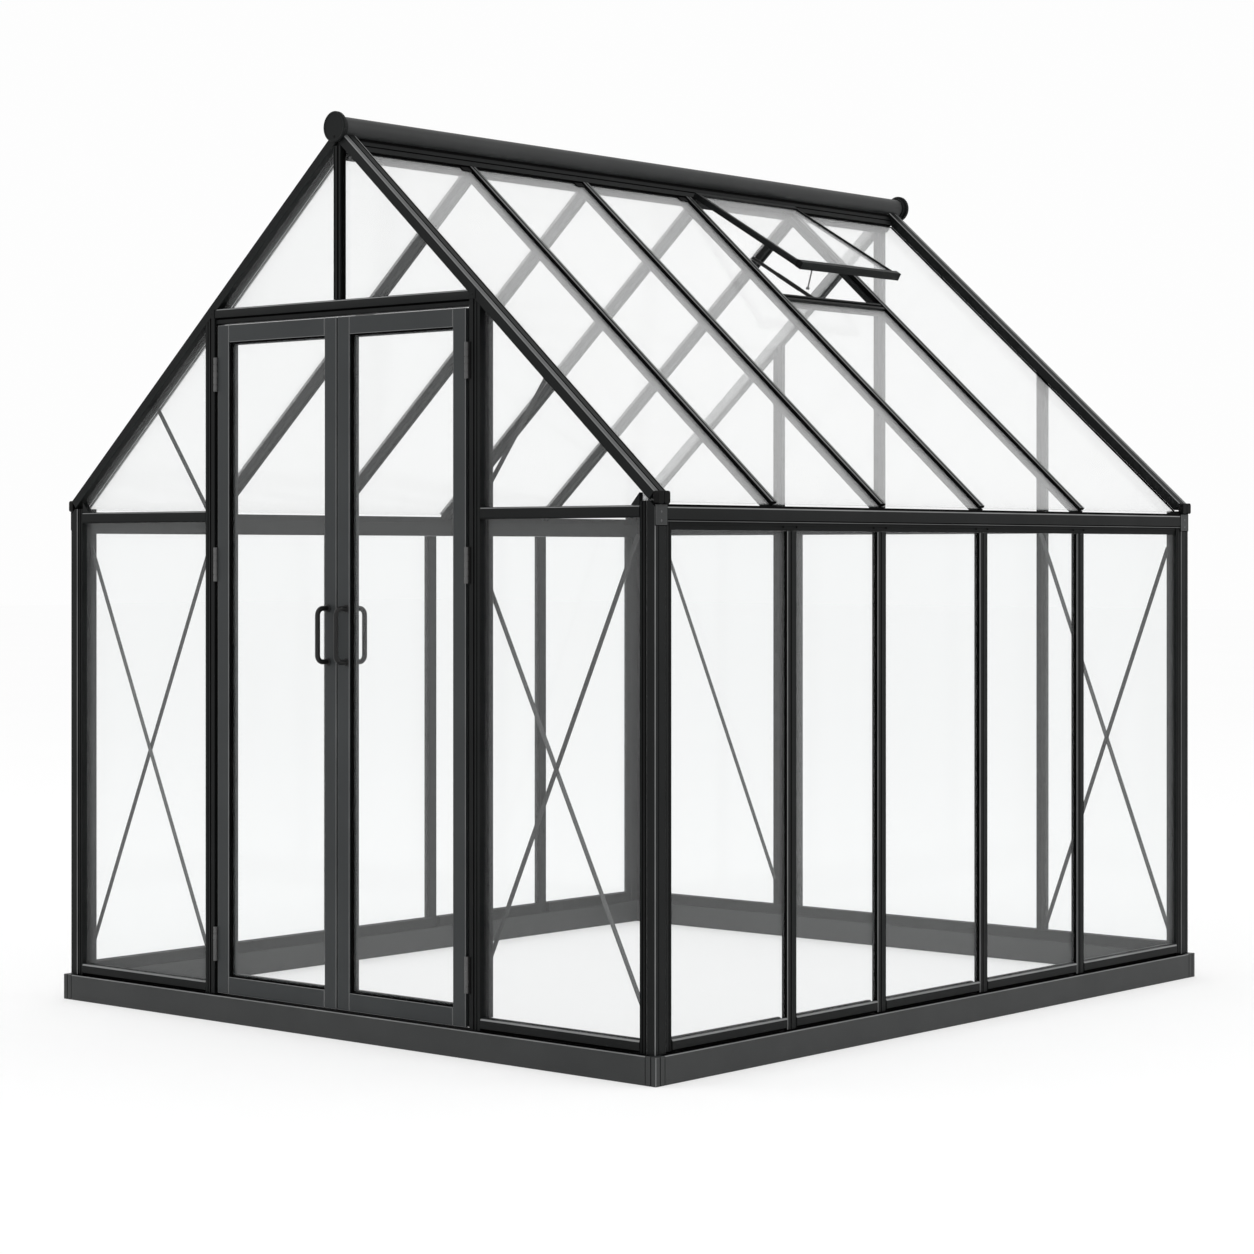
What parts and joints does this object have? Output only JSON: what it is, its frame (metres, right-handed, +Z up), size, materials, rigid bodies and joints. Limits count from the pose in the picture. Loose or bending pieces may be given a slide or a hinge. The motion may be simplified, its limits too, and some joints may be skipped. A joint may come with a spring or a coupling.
{
  "type": "walk-in greenhouse",
  "caption": "Walk-in gable greenhouse with a dark metal frame, clear panes, outward-opening double doors, braced gables and a hinged roof vent.",
  "frame": {"origin": "middle of the footprint on the ground", "axes": "+X to the right across the width, +Y along the length away from the doors, +Z up; the doors' gable faces -Y and the roof vent is on the +X slope"},
  "size_m": [2.432, 2.8095, 2.6665],
  "materials": {
    "frame_metal": "satin",
    "handle_metal": "satin",
    "stay_metal": "satin",
    "clear_pane": "gloss"
  },
  "bodies": {
    "frame": {"base_rail_front": "frame_metal", "base_rail_left": "frame_metal", "base_rail_rear": "frame_metal", "base_rail_right": "frame_metal", "brace_front_left": "frame_metal", "brace_front_right": "frame_metal", "brace_rear_left": "frame_metal", "brace_rear_right": "frame_metal", "corner_post_front_left": "frame_metal", "corner_post_front_right": "frame_metal", "corner_post_rear_left": "frame_metal", "corner_post_rear_right": "frame_metal", "door_header": "frame_metal", "door_jamb_left": "frame_metal", "door_jamb_right": "frame_metal", "eave_rail_left": "frame_metal", "eave_rail_right": "frame_metal", "front_pane_gable": "clear_pane", "front_pane_left": "clear_pane", "front_pane_right": "clear_pane", "front_rail_left": "frame_metal", "front_rail_right": "frame_metal", "gable_post_front": "frame_metal", "mullion_left_1": "frame_metal", "mullion_left_2": "frame_metal", "mullion_left_3": "frame_metal", "mullion_left_4": "frame_metal", "mullion_right_1": "frame_metal", "mullion_right_2": "frame_metal", "mullion_right_3": "frame_metal", "mullion_right_4": "frame_metal", "rafter_left_1": "frame_metal", "rafter_left_2": "frame_metal", "rafter_left_3": "frame_metal", "rafter_left_4": "frame_metal", "rafter_left_5": "frame_metal", "rafter_left_6": "frame_metal", "rafter_right_1": "frame_metal", "rafter_right_2": "frame_metal", "rafter_right_3": "frame_metal", "rafter_right_4": "frame_metal", "rafter_right_5": "frame_metal", "rafter_right_6": "frame_metal", "rear_frame": "frame_metal", "rear_panes": "clear_pane", "ridge_bar": "frame_metal", "roof_panes_left": "clear_pane", "roof_panes_right": "clear_pane", "vent_seat_bar": "frame_metal", "wall_panes_left": "clear_pane", "wall_panes_right": "clear_pane"},
    "door_left": {"door_frame_left": "frame_metal", "door_pane_left": "clear_pane", "door_handle_left": "handle_metal"},
    "door_right": {"door_frame_right": "frame_metal", "door_pane_right": "clear_pane", "door_handle_right": "handle_metal"},
    "vent": {"vent_frame": "frame_metal", "vent_pane": "clear_pane"},
    "vent_stay": {"vent_stay": "stay_metal"}
  },
  "joints": [
    {"name": "door_left_hinge", "type": "hinge", "parent": "frame", "child": "door_left", "pos_m": [-0.519, -1.3625, 1.079], "axis": [0, 0, -1], "range_deg": [0, 110]},
    {"name": "door_right_hinge", "type": "hinge", "parent": "frame", "child": "door_right", "pos_m": [0.519, -1.3625, 1.079], "axis": [0, 0, 1], "range_deg": [0, 110]},
    {"name": "vent_hinge", "type": "hinge", "parent": "frame", "child": "vent", "pos_m": [0.05303, 0.4585, 2.55822], "axis": [0, -1, 0], "range_deg": [-11, 24]},
    {"name": "vent_stay_pivot", "type": "hinge", "parent": "frame", "child": "vent_stay", "pos_m": [0.39278, 0.4, 2.21189], "axis": [0, -1, 0], "range_deg": [-11, 24]}
  ],
  "couplings": [
    {"joint": "vent_stay_pivot", "follows": "vent_hinge", "ratio": 1}
  ]
}
